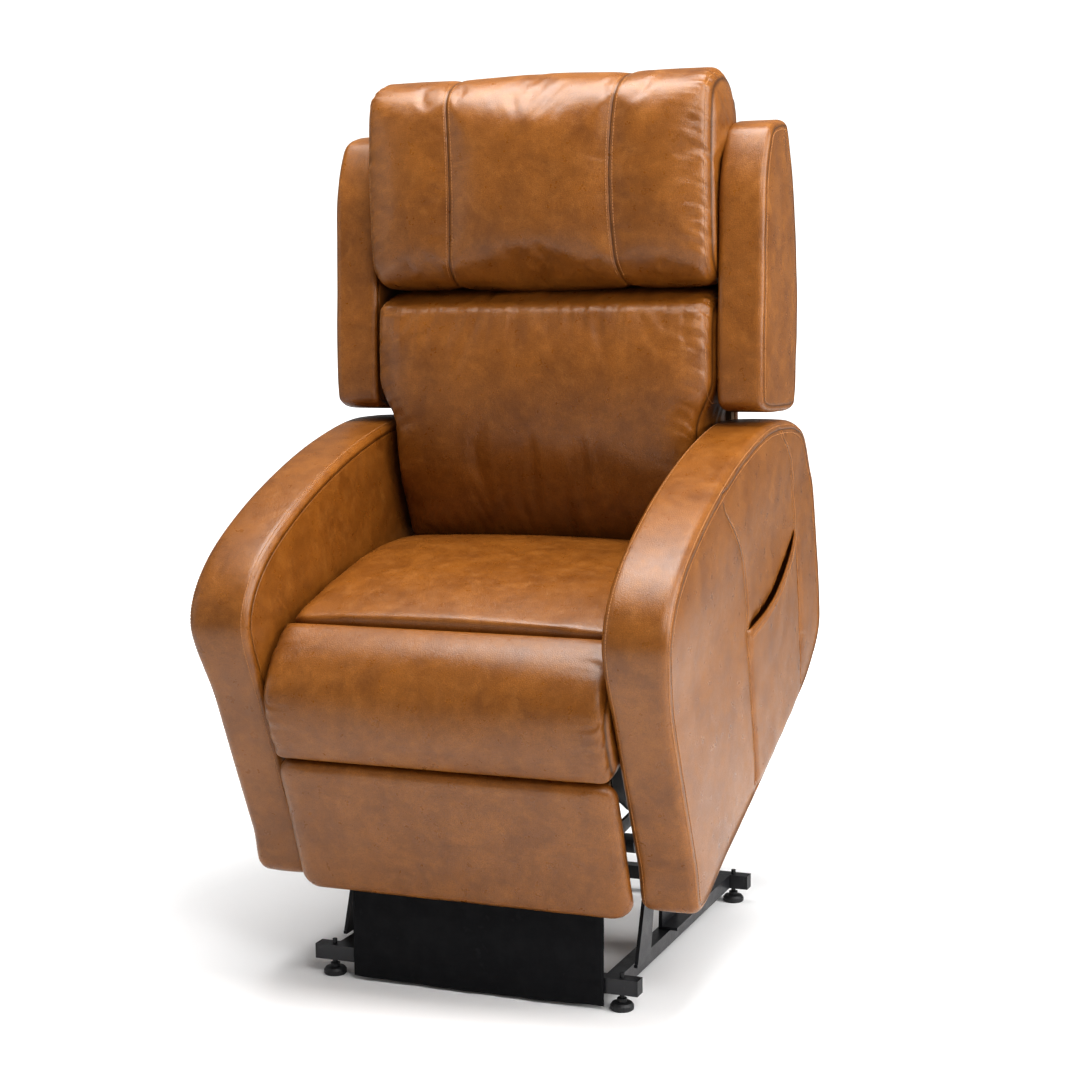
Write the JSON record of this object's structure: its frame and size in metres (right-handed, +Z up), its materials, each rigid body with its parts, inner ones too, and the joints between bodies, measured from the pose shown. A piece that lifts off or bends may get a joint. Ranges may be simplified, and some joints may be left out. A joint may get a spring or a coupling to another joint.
{
  "type": "lift recliner chair",
  "caption": "Upholstered lift recliner chair on a steel lift base, with wings, side pockets, reclining back and powered footrest; shown raised and tipped forward.",
  "frame": {"origin": "floor under the middle of the raised chair's outline", "axes": "+X to the sitter's left, chair faces -Y, +Z up"},
  "size_m": [0.782, 0.9892, 1.5066],
  "materials": {
    "upholstery": "satin, pebbled faux leather",
    "black_steel": "black powder coat",
    "black_plastic": "moulded matte",
    "zinc": "bright plated",
    "plywood": "raw",
    "black_cloth": "matte coated cloth"
  },
  "bodies": {
    "base": {"front_crossbar": "black_steel", "rear_crossbar": "black_steel", "front_end_cap_right": "black_plastic", "front_end_cap_left": "black_plastic", "rear_end_cap_right": "black_plastic", "rear_end_cap_left": "black_plastic", "side_rail_right": "black_steel", "side_rail_left": "black_steel", "front_base_bracket_right": "black_steel", "front_base_bracket_left": "black_steel", "rear_base_bracket_right": "black_steel", "rear_base_bracket_left": "black_steel", "lift_motor_clevis": "black_steel", "kick_flap": "black_cloth"},
    "foot_front_right": {"levelling_foot_front_right": "black_plastic"},
    "foot_front_left": {"levelling_foot_front_left": "black_plastic"},
    "foot_rear_right": {"levelling_foot_rear_right": "black_plastic"},
    "foot_rear_left": {"levelling_foot_rear_left": "black_plastic"},
    "lift_arms": {"lift_arm_right": "black_steel", "lift_arm_left": "black_steel", "lift_cross_tube": "black_steel"},
    "front_links": {"front_link_right": "black_steel", "front_link_left": "black_steel"},
    "lift_actuator": {"lift_motor": "black_plastic"},
    "lift_ram": {"lift_rod": "zinc"},
    "chair": {"seat_rail_right": "black_steel", "seat_rail_left": "black_steel", "front_cross_tube": "black_steel", "rear_cross_tube": "black_steel", "seat_deck": "plywood", "seat_cushion": "upholstery", "front_roll": "upholstery", "arm_right": "upholstery", "arm_left": "upholstery", "pocket_panel_right": "upholstery", "pocket_panel_left": "upholstery", "lower_rear_panel": "upholstery", "back_motor_hanger": "black_steel"},
    "backrest": {"back_frame": "plywood", "lumbar_cushion": "upholstery", "head_cushion": "upholstery", "wing_right": "upholstery", "wing_left": "upholstery", "rear_shell": "upholstery", "back_bracket_right": "black_steel", "back_bracket_left": "black_steel", "back_motor_lug": "black_steel"},
    "back_actuator": {"back_motor": "black_plastic"},
    "back_ram": {"back_rod": "zinc"},
    "footrest_drive": {"footrest_drive_link_right": "black_steel", "footrest_drive_link_left": "black_steel", "footrest_torque_tube": "black_steel"},
    "footrest_extension": {"footrest_extension_link_right": "black_steel", "footrest_extension_link_left": "black_steel"},
    "footrest": {"footrest_bracket_right": "black_steel", "footrest_bracket_left": "black_steel", "footrest_board": "plywood", "footrest_pad": "upholstery"},
    "footrest_actuator": {"footrest_motor": "black_plastic"},
    "footrest_ram": {"footrest_rod": "zinc"}
  },
  "joints": [
    {"name": "foot_front_right_screw", "type": "slide", "parent": "base", "child": "foot_front_right", "axis": [0, 0, -1], "range_m": [-0.004, 0.01]},
    {"name": "foot_front_left_screw", "type": "slide", "parent": "base", "child": "foot_front_left", "axis": [0, 0, -1], "range_m": [-0.004, 0.01]},
    {"name": "foot_rear_right_screw", "type": "slide", "parent": "base", "child": "foot_rear_right", "axis": [0, 0, -1], "range_m": [-0.004, 0.01]},
    {"name": "foot_rear_left_screw", "type": "slide", "parent": "base", "child": "foot_rear_left", "axis": [0, 0, -1], "range_m": [-0.004, 0.01]},
    {"name": "lift", "type": "hinge", "parent": "base", "child": "lift_arms", "pos_m": [0, 0.00803, 0.2316], "axis": [1, 0, 0], "range_deg": [-57.29, 0], "deforming": ["kick_flap"]},
    {"name": "chair_tip", "type": "hinge", "parent": "lift_arms", "child": "chair", "pos_m": [0, 0.29286, 0.44087], "axis": [1, 0, 0], "range_deg": [0, 36.34]},
    {"name": "front_link_swing", "type": "hinge", "parent": "base", "child": "front_links", "pos_m": [0, -0.16197, 0.1951], "axis": [1, 0, 0], "range_deg": [-77.33, 0]},
    {"name": "lift_motor_swing", "type": "hinge", "parent": "base", "child": "lift_actuator", "pos_m": [0, 0.31303, 0.075], "axis": [1, 0, 0], "range_deg": [0, 34.79]},
    {"name": "lift_rod_extend", "type": "slide", "parent": "lift_actuator", "child": "lift_ram", "axis": [0, -0.6015, 0.7988], "range_m": [-0.06982, 0]},
    {"name": "recline", "type": "hinge", "parent": "chair", "child": "backrest", "pos_m": [0, 0.17014, 0.62941], "axis": [1, 0, 0], "range_deg": [-42, 0]},
    {"name": "back_motor_swing", "type": "hinge", "parent": "chair", "child": "back_actuator", "pos_m": [0, 0.00962, 0.43926], "axis": [1, 0, 0], "range_deg": [-2.32, 0]},
    {"name": "back_rod_extend", "type": "slide", "parent": "back_actuator", "child": "back_ram", "axis": [0, 0.8143, 0.5804], "range_m": [-0.05069, 0]},
    {"name": "footrest_extend", "type": "hinge", "parent": "chair", "child": "footrest_drive", "pos_m": [0, -0.20219, 0.41901], "axis": [1, 0, 0], "range_deg": [-104.4, 0]},
    {"name": "footrest_link_swing", "type": "hinge", "parent": "footrest_drive", "child": "footrest_extension", "pos_m": [0, -0.07908, 0.2741], "axis": [1, 0, 0], "range_deg": [0, 114.98]},
    {"name": "footrest_turn", "type": "hinge", "parent": "footrest_extension", "child": "footrest", "pos_m": [0, -0.32076, 0.25352], "axis": [1, 0, 0], "range_deg": [-94.58, 0]},
    {"name": "footrest_motor_swing", "type": "hinge", "parent": "chair", "child": "footrest_actuator", "pos_m": [0, 0.13352, 0.52109], "axis": [1, 0, 0], "range_deg": [-1.15, 0]},
    {"name": "footrest_rod_extend", "type": "slide", "parent": "footrest_actuator", "child": "footrest_ram", "axis": [0, -0.9304, -0.3665], "range_m": [0, 0.06292]}
  ],
  "couplings": [
    {"joint": "chair_tip", "follows": "lift", "ratio": -0.63347},
    {"joint": "front_link_swing", "follows": "lift", "ratio": 1.3489},
    {"joint": "lift_motor_swing", "follows": "lift", "ratio": -0.60639},
    {"joint": "lift_rod_extend", "follows": "lift", "m_per_rad": 0.06974},
    {"joint": "back_motor_swing", "follows": "recline", "ratio": 0.0541},
    {"joint": "back_rod_extend", "follows": "recline", "m_per_rad": 0.06907},
    {"joint": "footrest_link_swing", "follows": "footrest_extend", "ratio": -1.1009},
    {"joint": "footrest_turn", "follows": "footrest_extend", "ratio": 0.90549},
    {"joint": "footrest_motor_swing", "follows": "footrest_extend", "ratio": 0.01053},
    {"joint": "footrest_rod_extend", "follows": "footrest_extend", "m_per_rad": -0.03449}
  ]
}
